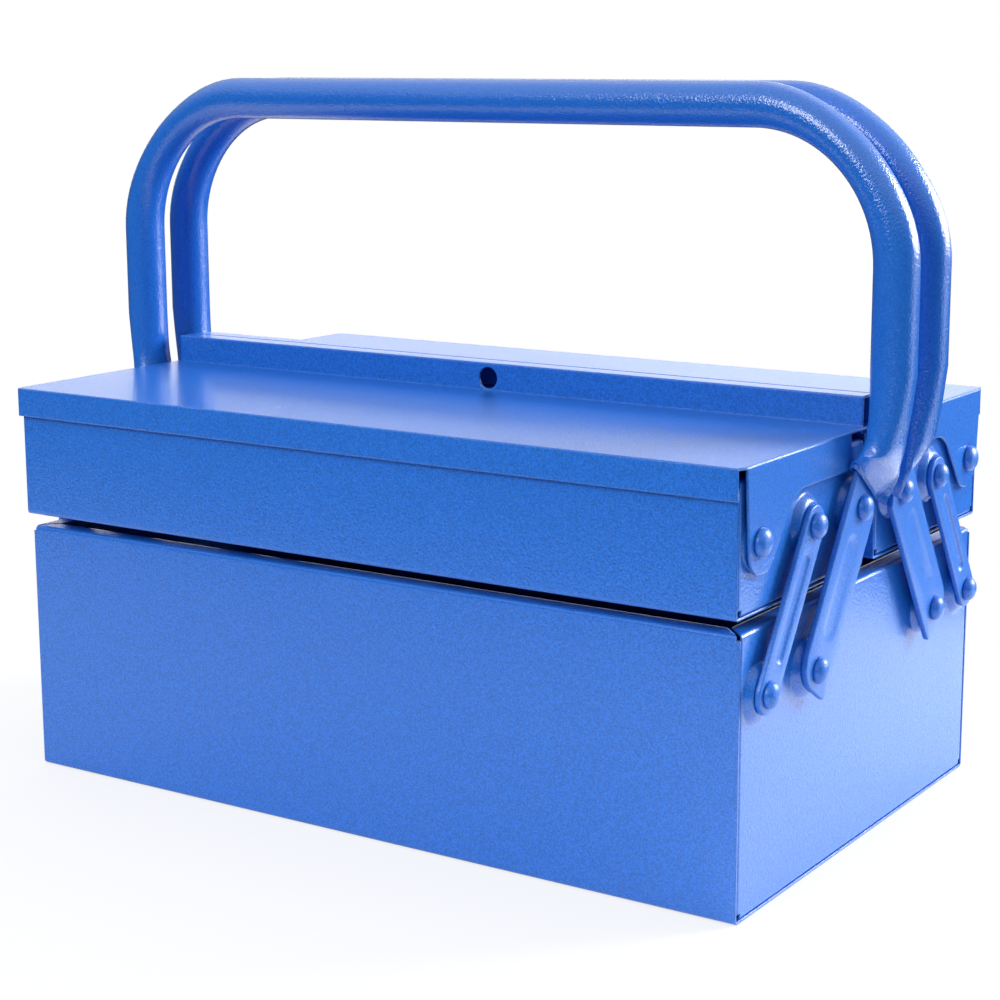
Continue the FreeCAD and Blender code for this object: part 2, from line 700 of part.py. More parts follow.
def front_tray_nodes():
    """The front tray: its shell, two end panels, and the rivets of the arms, links and lid."""
    arm_height = "(arm_standoff - boss_gap)"
    link_height = "(link_standoff - boss_gap)"
    ear_height = "(lid_side_gap - boss_gap)"
    rest = f"({LID_UNDER} - lid_seat_gap)"
    outer = f"(-{TRAY_OUTER})"
    inner = f"(-{TRAY_INNER})"
    shell = folded_shell("front_tray_shell", outer, inner, TRAY_FLOOR, TRAY_TOP, rest)
    bosses = [
        (ARM_HIGH, arm_height, "boss_radius"), (LINK_HIGH, link_height, "boss_radius"),
        (LID_HINGE, ear_height, "ear_boss_radius"),
    ]
    right = end_panel("front_tray_right_end", outer, inner, TRAY_FLOOR, TRAY_TOP, bosses)
    nodes = [shell, right, mirrored("front_tray_left_end", right, LEFT_RIGHT)]
    for label, pivot, height, face, head in (
        ("front_tray_arm_rivets", ARM_HIGH, arm_height, f"{ARM_FACE} + arm_thickness", "head_diameter"),
        ("front_tray_link_rivets", LINK_HIGH, link_height, f"{LINK_FACE} + link_thickness", "head_diameter"),
        ("front_lid_rivets", LID_HINGE, ear_height, LID_END, "lid_head_diameter"),
    ):
        first = rivet(label + "_right", pivot, f"{END} + {height} - sheet", face, head)
        nodes.append(group(label, [first, mirrored(label + "_left", first, LEFT_RIGHT)]))
    return nodes


front_nodes = front_tray_nodes()
for piece in (narrow_link(), wide_arm()):
    front_nodes += [piece, mirrored(piece.Label.replace("right", "left"), piece, LEFT_RIGHT)]
front_nodes += [front_lid(), handle_tube()]
rear_nodes = [mirrored(piece.Label.replace("front", "rear"), piece, FRONT_REAR) for piece in front_nodes]
nodes = base_nodes() + front_nodes + rear_nodes
doc.recompute()

for item in doc.Objects:
    if "Invalid" in item.State or "Error" in item.State:
        raise RuntimeError(f"{item.Label} did not build: {item.State}")
for node in nodes:
    if node.Shape.isNull() or not node.Shape.isValid():
        raise RuntimeError(f"{node.Label} has no sound shape")


def as_plane(face):
    """A lofted face as a true plane, where its corners lie in one."""
    if not isinstance(face.Surface, Part.BSplineSurface):
        return face
    low_u, high_u, low_v, high_v = face.ParameterRange
    normal = face.normalAt((low_u + high_u) / 2, (low_v + high_v) / 2)
    corners = [vertex.Point for vertex in face.Vertexes]
    if any(abs((corner - corners[0]).dot(normal)) > SAME_PLACE for corner in corners):
        return face
    flat = Part.Face(Part.Plane(corners[0], normal), face.OuterWire)
    if flat.normalAt(0, 0).dot(normal) < 0:
        flat.reverse()
    return flat


def with_planes(shape):
    """The same solids with their flat lofted faces made true planes, which keeps the facets few."""
    solids = []
    for solid in shape.Solids:
        if any(isinstance(face.Surface, Part.BSplineSurface) for face in solid.Faces):
            solid = Part.Solid(Part.Shell([as_plane(face) for face in solid.Faces]))
        solids.append(solid)
    return Part.makeCompound(solids) if len(solids) > 1 else solids[0]


os.makedirs("parts", exist_ok=True)
for node in nodes:
    shape = with_planes(node.Shape)
    if not shape.isValid() or abs(shape.Volume - node.Shape.Volume) > SAME_PLACE * node.Shape.Volume:
        raise RuntimeError(f"{node.Label} changed when its faces were made planes")
    shape.exportStep(f"parts/{node.Label}.step")
    print(f"{node.Label}: {len(shape.Solids)} solids, {shape.Volume:.1f} mm3")
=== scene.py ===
import math

import bpy
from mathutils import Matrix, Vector


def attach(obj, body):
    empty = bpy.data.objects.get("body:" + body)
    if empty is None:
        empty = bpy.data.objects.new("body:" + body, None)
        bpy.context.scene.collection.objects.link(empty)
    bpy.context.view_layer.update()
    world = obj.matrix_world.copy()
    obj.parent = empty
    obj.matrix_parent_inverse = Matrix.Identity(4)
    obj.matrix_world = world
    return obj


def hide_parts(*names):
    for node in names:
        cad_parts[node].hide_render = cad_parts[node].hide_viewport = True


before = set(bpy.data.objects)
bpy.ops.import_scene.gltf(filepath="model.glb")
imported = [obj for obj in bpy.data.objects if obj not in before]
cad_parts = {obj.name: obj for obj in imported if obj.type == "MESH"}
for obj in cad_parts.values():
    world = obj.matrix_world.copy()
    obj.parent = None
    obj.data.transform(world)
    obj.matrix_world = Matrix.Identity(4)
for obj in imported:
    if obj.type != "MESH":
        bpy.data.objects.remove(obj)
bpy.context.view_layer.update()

# Lengths below are in millimetres, as in the part's source, and become metres here.
MM = 0.001

# Places on the box that the pieces are built to; the pivots are those of the front half, as (y, z).
END = 150.0
LINK_BACK = 152.6
ARM_BACK = 153.4
LID_END = 152.0
SHEET = 0.8
ARM_LOW = (-48.1, 73.1)
ARM_HIGH = (-16.9, 121.3)
LINK_LOW = (-81.5, 73.1)
LINK_HIGH = (-50.3, 121.3)
LID_HINGE = (-84.4, 121.9)
SPAN = math.hypot(ARM_HIGH[0] - ARM_LOW[0], ARM_HIGH[1] - ARM_LOW[1])
LEAN = math.atan2(ARM_HIGH[0] - ARM_LOW[0], ARM_HIGH[1] - ARM_LOW[1])

# Links and arms.
LINK_THICKNESS = 1.8
LINK_HALF = 6.6
LINK_GROOVE_START = 12.7
LINK_GROOVE_HALF = 2.6
LINK_GROOVE_DEPTH = 0.85
ARM_THICKNESS = 2.0
ARM_HALF = 10.25
ARM_FOOT = 7.2
ARM_FOOT_CORNER = 9.0
ARM_SHARP_CORNER = 1.6
# The arm's shoulder and the start of its tongue above the upper pivot, and the tongue's length and rear edge.
ARM_SHOULDER = 1.5
TONGUE_START = 7.8
TONGUE_LENGTH = 4.5
TONGUE_REAR = (5.0, 4.0)
ARM_GROOVE_START = 14.6
ARM_GROOVE_HALF = 4.6
ARM_GROOVE_DEPTH = 0.45
OUTLINE_SPACING = 2.5

# Rivets and the pressed bosses that they stand on.
HEAD = 8.8
LID_HEAD = 9.5
HEAD_HEIGHT = 3.3
SHANK = 2.5
TAIL = 4.0
TAIL_HEIGHT = 1.2
RIVET_SIDES = 40
ARM_BOSS_HEIGHT = 3.2
LINK_BOSS_HEIGHT = 2.4
EAR_BOSS_HEIGHT = 1.0
BOSS_RADIUS = 7.4
EAR_BOSS_RADIUS = 6.4
BOSS_FLARE = 2.2
BOSS_SIDES = 56


def smooth(share):
    """A share from 0 to 1 eased at both ends."""
    share = min(1, max(0, share))
    return share * share * (3 - 2 * share)


def between(start, end, share):
    """The number or vector at a share of the way from start to end."""
    return start + (end - start) * share


def ring_faces(rings, count, closed_start=False, closed_end=False):
    """Quads between rings of equal count, numbered in order, with caps where asked."""
    faces = []
    for ring in range(rings - 1):
        for number in range(count):
            after = (number + 1) % count
            low, high = ring * count, (ring + 1) * count
            faces.append((low + number, low + after, high + after, high + number))
    if closed_start:
        faces.append(tuple(reversed(range(count))))
    if closed_end:
        faces.append(tuple(range((rings - 1) * count, rings * count)))
    return faces


def piece(name, corners, faces, body, replaced=(), flip_x=False, flip_y=False, sharp=32):
    """A mesh of corners in millimetres, mirrored where asked, that rides on a body."""
    signs = Vector((-1 if flip_x else 1, -1 if flip_y else 1, 1)) * MM
    if flip_x != flip_y:
        faces = [tuple(reversed(face)) for face in faces]
    mesh = bpy.data.meshes.new(name)
    mesh.from_pydata([Vector(corner) * signs for corner in corners], [], faces)
    mesh.validate()
    mesh.polygons.foreach_set("use_smooth", [True] * len(mesh.polygons))
    mesh.set_sharp_from_angle(angle=math.radians(sharp))
    made = bpy.data.objects.new(name, mesh)
    bpy.context.scene.collection.objects.link(made)
    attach(made, body)
    if replaced:
        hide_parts(*replaced)
    return made


def joined(parts):
    """Several (corners, faces) as one."""
    corners, faces = [], []
    for part_corners, part_faces in parts:
        faces += [tuple(number + len(corners) for number in face) for face in part_faces]
        corners += part_corners
    return corners, faces


def lathe(pivot, profile, sides):
    """A turned skin round an X axis through a pivot; the profile is (radius, x) from the wall outward."""
    corners = []
    for radius, x in profile:
        for number in range(sides):
            angle = 2 * math.pi * number / sides
            corners.append((x, pivot[0] + radius * math.cos(angle), pivot[1] + radius * math.sin(angle)))
    return corners, ring_faces(len(profile), sides, closed_start=True, closed_end=True)


# Rivet heads: shares of the radius and of the height, from the rim to the crown.
HEAD_SHARES = [(0.93, 0.0), (0.985, 0.03), (1.0, 0.1), (0.985, 0.22)] + [
    (math.cos(math.radians(angle)) * 0.985, 0.22 + 0.78 * math.sin(math.radians(angle)))
    for angle in (12, 24, 36, 48, 60, 70, 78, 84, 88)
]


def rivet(pivot, back, face, diameter):
    """A dome-headed rivet: tail inside the wall, shank, and head just off the outer face."""
    bevel = 0.3
    under = face + 0.1
    profile = [
        (TAIL - bevel, back - TAIL_HEIGHT), (TAIL, back - TAIL_HEIGHT + bevel), (TAIL, back),
        (SHANK, back), (SHANK, under),
    ]
    profile += [(diameter / 2 * wide, under + HEAD_HEIGHT * rise) for wide, rise in HEAD_SHARES]
    return lathe(pivot, profile, RIVET_SIDES)


def boss_skin(pivot, height, radius):
    """The smooth skin of a pressed boss, just over the polygonal one of the end panel, open round the hole."""
    proud = 0.06
    beside = 0.12
    hole = 2.6
    foot = radius + BOSS_FLARE
    profile = [(foot + 0.9, END + 0.01), (foot + 0.25, END + 0.1)]
    profile += [
        (between(foot, radius + 0.45, share) + beside, END + between(0.28, height - 0.25, share))
        for share in (0, 0.25, 0.5, 0.75, 1)
    ]
    profile += [
        (radius + 0.2, END + height - proud), (radius - 0.2, END + height + proud), (hole, END + height + proud),
    ]
    corners, faces = lathe(pivot, profile, BOSS_SIDES)
    return corners, faces[:-2]


def rounded(points, radii, steps=7):
    """A closed outline through points whose corners are rounded by their radii."""
    outline = []
    count = len(points)
    for number in range(count):
        corner = Vector(points[number])
        before = (Vector(points[number - 1]) - corner).normalized()
        after = (Vector(points[(number + 1) % count]) - corner).normalized()
        radius = radii[number]
        if radius == 0:
            outline.append(corner)
            continue
        half = before.angle(after) / 2
        centre = corner + (before + after).normalized() * (radius / math.sin(half))
        first = corner + before * (radius / math.tan(half)) - centre
        last = corner + after * (radius / math.tan(half)) - centre
        turn = first.angle_signed(last)
        for step in range(steps + 1):
            angle = -turn * step / steps
            outline.append(centre + Vector((
                first.x * math.cos(angle) - first.y * math.sin(angle),
                first.x * math.sin(angle) + first.y * math.cos(angle),
            )))
    return outline


def resampled(outline, spacing):
    """The outline with its long sides divided."""
    result = []
    for start, end in zip(outline, outline[1:] + outline[:1]):
        steps = max(1, round((end - start).length / spacing))
        result += [between(start, end, step / steps) for step in range(steps)]
    return result


def inset(outline, distance):
    """The outline moved inward; it runs anticlockwise."""
    result = []
    count = len(outline)
    for number in range(count):
        one = (outline[number] - outline[number - 1]).normalized()
        two = (outline[(number + 1) % count] - outline[number]).normalized()
        normal = (Vector((-one.y, one.x)) + Vector((-two.y, two.x))).normalized()
        spread = max(0.5, normal.dot(Vector((-one.y, one.x))))
        result.append(outline[number] + normal * (distance / spread))
    return result


def on_capsule(point, low, high, half_width):
    """The nearest place to a point on a capsule along the link's own axis."""
    spine = Vector((0, min(high, max(low, point.y))))
    away = point - spine
    return spine + away.normalized() * half_width


# Rings of a groove from its lip to its floor: shares of its half width and of its depth.
GROOVE_SHARES = ((1.14, 0), (1.06, 0.06), (0.94, 0.22), (0.8, 0.52), (0.62, 0.82), (0.42, 0.96), (0.2, 1))


def plate(outline, thickness, start, half_width, depth, edge=0.45):
    """A link upright over its lower pivot, with rolled edges and a smooth pressed groove in its outer face."""
    levels = [(inset(outline, edge * 0.6), 0), (outline, edge * 0.6), (outline, thickness - edge)]
    for share in (0.35, 0.7, 1):
        angle = math.pi / 2 * share
        levels.append((inset(outline, edge * (1 - math.cos(angle))), thickness - edge * (1 - math.sin(angle))))
    for wide, drop in GROOVE_SHARES:
        ring = [on_capsule(point, start, SPAN - start, half_width * wide) for point in outline]
        levels.append((ring, thickness - depth * drop))
    corners = [(out, point.x, point.y) for ring, out in levels for point in ring]
    return corners, ring_faces(len(levels), len(outline), closed_start=True, closed_end=True)


def leaned(shape, pivot, face):
    """A plate set along the parallel links, with its back on a face."""
    corners, faces = shape
    turned = []
    for out, across, up in corners:
        turned.append((
            face + out,
            pivot[0] + across * math.cos(LEAN) + up * math.sin(LEAN),
            pivot[1] - across * math.sin(LEAN) + up * math.cos(LEAN),
        ))
    return turned, faces


def narrow_link():
    """A narrow link with its long groove."""
    outline = []
    for step in range(-24, 24):
        angle = math.radians(step * 7.5)
        lift = SPAN if 0 < angle < math.pi else 0
        outline.append(Vector((LINK_HALF * math.cos(angle), LINK_HALF * math.sin(angle) + lift)))
    outline = resampled(outline, OUTLINE_SPACING)
    shape = plate(outline, LINK_THICKNESS, LINK_GROOVE_START, LINK_GROOVE_HALF, LINK_GROOVE_DEPTH)
    return leaned(shape, LINK_LOW, LINK_BACK)


def wide_arm():
    """A wide arm with its lopsided foot, shallow groove and the tongue inside the crimp."""
    half = ARM_HALF
    cut = SPAN + TONGUE_START
    top = cut + TONGUE_LENGTH
    points = [
        (-half, -ARM_FOOT), (half, -ARM_FOOT), (half, SPAN + ARM_SHOULDER),
        (TONGUE_REAR[0], cut), (TONGUE_REAR[1], top), (-half, top),
    ]
    radii = [ARM_FOOT_CORNER, ARM_SHARP_CORNER, ARM_SHARP_CORNER, 0, 0, 0]
    outline = resampled(rounded(points, radii), OUTLINE_SPACING)
    shape = plate(outline, ARM_THICKNESS, ARM_GROOVE_START, ARM_GROOVE_HALF, ARM_GROOVE_DEPTH)
    return leaned(shape, ARM_LOW, ARM_BACK)


# The handle tube.
TUBE_RADIUS = 7.7
TUBE_WALL = 1.0
TUBE_SIDES = 48
LEG_X = END + 5.5 + TUBE_RADIUS
HANDLE_Y = -13.0
HANDLE_TOP = 252.4
BEND = 52.0
BEND_STEPS = 24
# The bending tool draws the outer wall of a bend inwards, eased in over these steps.
BEND_FLAT = 2.2
BEND_EASE = 11
# Top of the crushed end, and how square its section is, from round to flat.
CRUSH_TOP = 166.0
ROUND_POWER = 2.0
FLAT_POWER = 7.0
# The flat mouth: half its width, how far it is from the upper pivot along the arm, and how far its rear corner
# is from that pivot across the arm.
MOUTH = 11.3
MOUTH_UP = 8.6
MOUTH_REAR = 9.5
# How far the open rear corner of the mouth stands out.
MOUTH_BULGE = 4.3
# The outer wall reaches further down the arm than the hidden one, most at the rear corner.
LIP = 2.1
LIP_SLANT = 0.1
LIP_RINGS = 6


def tube_ring(centre, across, outward, half_width, half_depth, power, bulge=0.0):
    """A ring across the tube, from round to a flattened oblong, whose rear outer corner may stand open."""
    ring = []
    for number in range(TUBE_SIDES):
        angle = 2 * math.pi * number / TUBE_SIDES
        wide = math.copysign(abs(math.cos(angle)) ** (2 / power), math.cos(angle))
        deep = math.copysign(abs(math.sin(angle)) ** (2 / power), math.sin(angle))
        lift = bulge * smooth((wide - 0.8) / 0.2) * max(0, deep)
        ring.append(centre + across * (half_width * wide) + outward * (half_depth * deep + lift))
    return ring


# Stations of the crushed end above its flat mouth: x, y and z of the centre, share of the links' lean,
# half width, half depth, squareness and height of the open corner.
CRUSH_STATIONS = [
    (158.8, -14.1, 135.0, 0.74, 10.9, 4.5, 3.4, 2.2),
    (160.5, -13.4, 140.4, 0.38, 9.3, 5.8, 2.5, 0.5),
    (161.6, -13.1, 146.5, 0.12, 8.6, 6.2, 2.1, 0.0),
    (162.5, -13.0, 154.0, 0.0, 8.1, 6.8, 2.0, 0.0),
    (LEG_X, HANDLE_Y, CRUSH_TOP, 0.0, TUBE_RADIUS, TUBE_RADIUS, ROUND_POWER, 0.0),
]
CRUSH_STEPS = 6


def spline(zero, one, two, three, share):
    """The number at a share of the way from one to two on a smooth curve through all four."""
    return 0.5 * (2 * one + (two - zero) * share + (2 * zero - 5 * one + 4 * two - three) * share ** 2
                  + (3 * one - zero - 3 * two + three) * share ** 3)


def crushed_rings(inner):
    """Rings of the right end, from the flat mouth over the arm's tongue to the round leg."""
    outward = Vector((1, 0, 0))
    along = Vector((0, math.sin(LEAN), math.cos(LEAN)))
    across = Vector((0, math.cos(LEAN), -math.sin(LEAN)))
    pivot = Vector((ARM_BACK + ARM_THICKNESS / 2, *ARM_HIGH))
    cut = pivot + along * MOUTH_UP - across * (MOUTH - MOUTH_REAR)
    flat_depth = ARM_THICKNESS / 2 + 0.05 + TUBE_WALL
    mouth = [
        (*(cut + along * rise), 1.0, MOUTH - 0.1 * rise, flat_depth, FLAT_POWER, MOUTH_BULGE) for rise in (0, 1.5)
    ]
    rows = mouth + CRUSH_STATIONS
    rings = [tube_ring(cut, across, outward, MOUTH - inner, flat_depth - inner, FLAT_POWER, MOUTH_BULGE)]
    last = len(rows) - 1
    for number in range(1, last):
        start, end = rows[number], rows[number + 1]
        before = rows[number - 1] if number > 1 else [2 * one - two for one, two in zip(start, end)]
        after = rows[number + 2] if number + 2 <= last else [2 * two - one for one, two in zip(start, end)]
        for step in range(CRUSH_STEPS + (number == last - 1)):
            row = [spline(*four, step / CRUSH_STEPS) for four in zip(before, start, end, after)]
            x, y, z, lean_share, half_width, half_depth, power, bulge = row
            tilt = LEAN * min(1, max(0, lean_share))
            side = Vector((0, math.cos(tilt), -math.sin(tilt)))
            rings.append(tube_ring(
                Vector((x, y, z)), side, outward, half_width - inner, half_depth - inner,
                max(ROUND_POWER, power), max(0, bulge)))
    for number in range(LIP_RINGS):
        fading = smooth(1 - number / LIP_RINGS)
        for corner in rings[number]:
            outer = smooth((corner.x - cut.x) / flat_depth)
            lip = LIP + LIP_SLANT * (corner - cut).dot(across)
            corner -= along * (lip * outer * fading)
    return rings


def bend_rings(inner):
    """Rings of the right leg, the bend and half of the grip."""
    radius = TUBE_RADIUS - inner
    rear = Vector((0, 1, 0))
    centre = Vector((LEG_X - BEND, HANDLE_Y, HANDLE_TOP - BEND))
    rings = []
    for height in (CRUSH_TOP + 10, CRUSH_TOP + 22):
        rings.append(tube_ring(
            Vector((LEG_X, HANDLE_Y, height)), rear, Vector((1, 0, 0)), radius, radius, ROUND_POWER))
    for step in range(BEND_STEPS + 1):
        angle = math.pi / 2 * step / BEND_STEPS
        outward = Vector((math.cos(angle), 0, math.sin(angle)))
        pressed = BEND_FLAT * smooth(step / BEND_EASE) * smooth((BEND_STEPS - step) / BEND_EASE) / 2
        middle = centre + outward * (BEND - pressed)
        rings.append(tube_ring(middle, rear, outward, radius, radius - pressed, ROUND_POWER))
    for x in (80, 50, 20):
        rings.append(tube_ring(
            Vector((x, HANDLE_Y, HANDLE_TOP)), rear, Vector((0, 0, 1)), radius, radius, ROUND_POWER))
    return rings


def handle_tube():
    """The bent tube as an outer and an inner skin that meet at the two mouths."""
    skins = []
    for inner in (0, TUBE_WALL):
        right = crushed_rings(inner) + bend_rings(inner)
        left = [[Vector((-corner.x, corner.y, corner.z)) for corner in ring] for ring in reversed(right)]
        skins.append(right + left)
    rings = skins[0] + list(reversed(skins[1]))
    corners = [tuple(corner) for ring in rings for corner in ring]
    faces = ring_faces(len(rings), TUBE_SIDES)
    last = (len(rings) - 1) * TUBE_SIDES
    for number in range(TUBE_SIDES):
        after = (number + 1) % TUBE_SIDES
        faces.append((last + number, last + after, after, number))
    return corners, faces


# Rivets: name, pivot, height of the boss, face under the head, diameter of the head, body, and the node that
# they replace.
RIVETS = (
    ("base_arm", ARM_LOW, ARM_BOSS_HEIGHT, ARM_BACK + ARM_THICKNESS, HEAD, "base", "base_arm_rivets"),
    ("base_link", LINK_LOW, LINK_BOSS_HEIGHT, LINK_BACK + LINK_THICKNESS, HEAD, "base", "base_link_rivets"),
    ("tray_arm", ARM_HIGH, ARM_BOSS_HEIGHT, ARM_BACK + ARM_THICKNESS, HEAD, "{}_tray", "{}_tray_arm_rivets"),
    ("tray_link", LINK_HIGH, LINK_BOSS_HEIGHT, LINK_BACK + LINK_THICKNESS, HEAD, "{}_tray", "{}_tray_link_rivets"),
    ("lid", LID_HINGE, EAR_BOSS_HEIGHT, LID_END, LID_HEAD, "{}_tray", "{}_lid_rivets"),
)
BASE_BOSSES = joined([
    boss_skin(ARM_LOW, ARM_BOSS_HEIGHT, BOSS_RADIUS),
    boss_skin(LINK_LOW, LINK_BOSS_HEIGHT, BOSS_RADIUS),
])
TRAY_BOSSES = joined([
    boss_skin(ARM_HIGH, ARM_BOSS_HEIGHT, BOSS_RADIUS),
    boss_skin(LINK_HIGH, LINK_BOSS_HEIGHT, BOSS_RADIUS),
    boss_skin(LID_HINGE, EAR_BOSS_HEIGHT, EAR_BOSS_RADIUS),
])

# Every piece is made at the right end of the front half, and mirrored to the other three places.
pieces = []
for ends, rear in (("front", False), ("rear", True)):
    for side, left in (("right", False), ("left", True)):
        prefix = f"{ends}_{side}"
        flips = {"flip_x": left, "flip_y": rear}
        pieces.append(piece(f"{prefix}_narrow_link", *narrow_link(), f"{ends}_links", [f"{ends}_link_{side}"], **flips))
        pieces.append(piece(f"{prefix}_wide_arm", *wide_arm(), f"{ends}_handle", [f"{ends}_arm_{side}"], **flips))
        for name, pivot, boss, face, diameter, body, node_name in RIVETS:
            shape = rivet(pivot, END + boss - SHEET, face, diameter)
            replaced = [node_name.format(ends)]
            pieces.append(piece(f"{prefix}_{name}_rivet", *shape, body.format(ends), replaced, **flips))
        pieces.append(piece(f"{prefix}_base_bosses", *BASE_BOSSES, "base", **flips))
        pieces.append(piece(f"{prefix}_tray_bosses", *TRAY_BOSSES, f"{ends}_tray", **flips))
    pieces.append(piece(
        f"{ends}_handle", *handle_tube(), f"{ends}_handle", [f"{ends}_handle_tube"], flip_y=rear, sharp=50))


def node(tree, kind, inputs=(), **settings):
    """A shader node with its settings and plain input values."""
    new = tree.nodes.new(kind)
    for name, setting in settings.items():
        setattr(new, name, setting)
    for name, number in inputs:
        new.inputs[name].default_value = number
    return new


DEEP_BLUE = (0.013, 0.138, 0.56)
LIGHT_BLUE = (0.016, 0.146, 0.585)


def paint(name, grain, dimple, wave, speck, rough, coat, fold=0.0):
    """Glossy hammered enamel: dimples of about a millimetre over slow waves, specks of deeper colour, and
    folded edges rounded by a radius in metres where one is given."""
    material = bpy.data.materials.new(name)
    material.use_nodes = True
    tree = material.node_tree
    link = tree.links.new
    shader = tree.nodes["Principled BSDF"]
    place = node(tree, "ShaderNodeTexCoord")
    cells = node(tree, "ShaderNodeTexVoronoi", [("Scale", grain), ("Randomness", 1.0)], feature="SMOOTH_F1")
    cells.inputs["Smoothness"].default_value = 0.5
    link(place.outputs["Object"], cells.inputs["Vector"])
    speckle = node(tree, "ShaderNodeTexNoise", [("Scale", grain * 1.5), ("Detail", 3.0), ("Roughness", 0.65)])
    link(place.outputs["Object"], speckle.inputs["Vector"])
    drift = node(tree, "ShaderNodeTexNoise", [("Scale", 7.0), ("Detail", 2.0)])
    link(place.outputs["Object"], drift.inputs["Vector"])
    slow = node(tree, "ShaderNodeBump", [("Strength", 0.25), ("Distance", wave)])
    link(drift.outputs["Fac"], slow.inputs["Height"])
    if fold:
        soft = node(tree, "ShaderNodeBevel", [("Radius", fold)], samples=6)
        link(soft.outputs["Normal"], slow.inputs["Normal"])
    dents = node(tree, "ShaderNodeBump", [("Strength", 0.6), ("Distance", dimple)])
    link(cells.outputs["Distance"], dents.inputs["Height"])
    link(slow.outputs["Normal"], dents.inputs["Normal"])
    fine = node(tree, "ShaderNodeBump", [("Strength", 0.5), ("Distance", dimple)])
    link(speckle.outputs["Fac"], fine.inputs["Height"])
    link(dents.outputs["Normal"], fine.inputs["Normal"])
    ramp = node(tree, "ShaderNodeValToRGB")
    low, high = ramp.color_ramp.elements
    low.position = 0.36
    low.color = tuple(channel * (1 - speck) for channel in DEEP_BLUE) + (1,)
    high.position = 0.64
    high.color = tuple(channel * (1 + speck) for channel in LIGHT_BLUE) + (1,)
    link(speckle.outputs["Fac"], ramp.inputs["Fac"])
    link(ramp.outputs["Color"], shader.inputs["Base Color"])
    link(fine.outputs["Normal"], shader.inputs["Normal"])
    link(fine.outputs["Normal"], shader.inputs["Coat Normal"])
    shader.inputs["Roughness"].default_value = rough
    shader.inputs["IOR"].default_value = 1.46
    shader.inputs["Coat Weight"].default_value = coat
    shader.inputs["Coat Roughness"].default_value = 0.08
    return material


sheet_paint = paint("hammered_paint_on_sheet", grain=1100.0, dimple=0.00009, wave=0.0016, speck=0.24,
                    rough=0.3, coat=0.45, fold=0.0009)
tube_paint = paint("hammered_paint_on_tube", grain=1150.0, dimple=0.00017, wave=0.0003, speck=0.14,
                   rough=0.2, coat=0.7)
link_paint = paint("hammered_paint_on_links", grain=1000.0, dimple=0.0001, wave=0.0004, speck=0.18,
                   rough=0.4, coat=0.2, fold=0.0005)
for cad_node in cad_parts.values():
    cad_node.data.materials.clear()
    cad_node.data.materials.append(sheet_paint)
for item in pieces:
    if item.name.endswith("_handle"):
        item.data.materials.append(tube_paint)
    elif item.name.endswith("_bosses"):
        item.data.materials.append(sheet_paint)
    else:
        item.data.materials.append(link_paint)


def ramp_of(tree, source, low, high, start, stop):
    """A smooth step of a value from start to stop, as the source goes from low to high."""
    step = node(
        tree, "ShaderNodeMapRange", [("From Min", low), ("From Max", high), ("To Min", start), ("To Max", stop)],
        interpolation_type="SMOOTHSTEP")
    tree.links.new(source, step.inputs["Value"])
    return step.outputs["Result"]


def maths(tree, operation, one, two):
    """A maths node on two sockets, or on a socket and a number."""
    new = node(tree, "ShaderNodeMath", operation=operation)
    for number, value in enumerate((one, two)):
        if isinstance(value, (int, float)):
            new.inputs[number].default_value = value
        else:
            tree.links.new(value, new.inputs[number])
    return new.outputs[0]


# Stage: a white table top, seen as plain white but for a faint shadow near the box. Its sheen in the paint
# ends at its edges, and is stronger towards the right. Places on it are in metres.
TABLE_LEFT, TABLE_FRONT, TABLE_RIGHT, TABLE_REAR = -0.62, -0.43, 0.37, 0.33
# Near the box the table is this much plain white, and the rest of it shows the shadow.
SHADOW_GLOW = 0.72
floor_mesh = bpy.data.meshes.new("floor")
floor_mesh.from_pydata([
    (TABLE_LEFT, TABLE_FRONT, 0), (TABLE_RIGHT, TABLE_FRONT, 0),
    (TABLE_RIGHT, TABLE_REAR, 0), (TABLE_LEFT, TABLE_REAR, 0),
], [], [(0, 1, 2, 3)])
floor = bpy.data.objects.new("floor", floor_mesh)
bpy.context.scene.collection.objects.link(floor)
floor.location.z = -0.0003
floor_material = bpy.data.materials.new("white_floor")
floor_material.use_nodes = True
tree = floor_material.node_tree
tree.nodes.clear()
output = node(tree, "ShaderNodeOutputMaterial")
matte = node(tree, "ShaderNodeBsdfDiffuse", [("Color", (0.85, 0.87, 0.9, 1))])
glow = node(tree, "ShaderNodeEmission", [("Color", (1, 1, 1, 1)), ("Strength", 1.0)])
rays = node(tree, "ShaderNodeLightPath")
place = node(tree, "ShaderNodeTexCoord")
split = node(tree, "ShaderNodeSeparateXYZ")
tree.links.new(place.outputs["Object"], split.inputs[0])
across = ramp_of(tree, maths(tree, "ABSOLUTE", split.outputs["X"], 0), 0.17, 0.32, 0.0, 1.0)
deep = ramp_of(tree, maths(tree, "ABSOLUTE", split.outputs["Y"], 0), 0.12, 0.28, 0.0, 1.0)
faded = maths(tree, "MAXIMUM", across, deep)
seen = maths(tree, "ADD", maths(tree, "MULTIPLY", faded, 1 - SHADOW_GLOW), SHADOW_GLOW)
share = maths(tree, "MULTIPLY", seen, rays.outputs["Is Camera Ray"])
mix = node(tree, "ShaderNodeMixShader")
tree.links.new(share, mix.inputs[0])
tree.links.new(matte.outputs[0], mix.inputs[1])
tree.links.new(glow.outputs[0], mix.inputs[2])
bright = node(tree, "ShaderNodeEmission", [("Color", (0.93, 0.96, 1, 1))])
patch = maths(tree, "MULTIPLY", ramp_of(tree, split.outputs["X"], 0.05, 0.2, 0.0, 0.6), rays.outputs["Is Glossy Ray"])
tree.links.new(patch, bright.inputs["Strength"])
both = node(tree, "ShaderNodeAddShader")
tree.links.new(mix.outputs[0], both.inputs[0])
tree.links.new(bright.outputs[0], both.inputs[1])
tree.links.new(both.outputs[0], output.inputs[0])
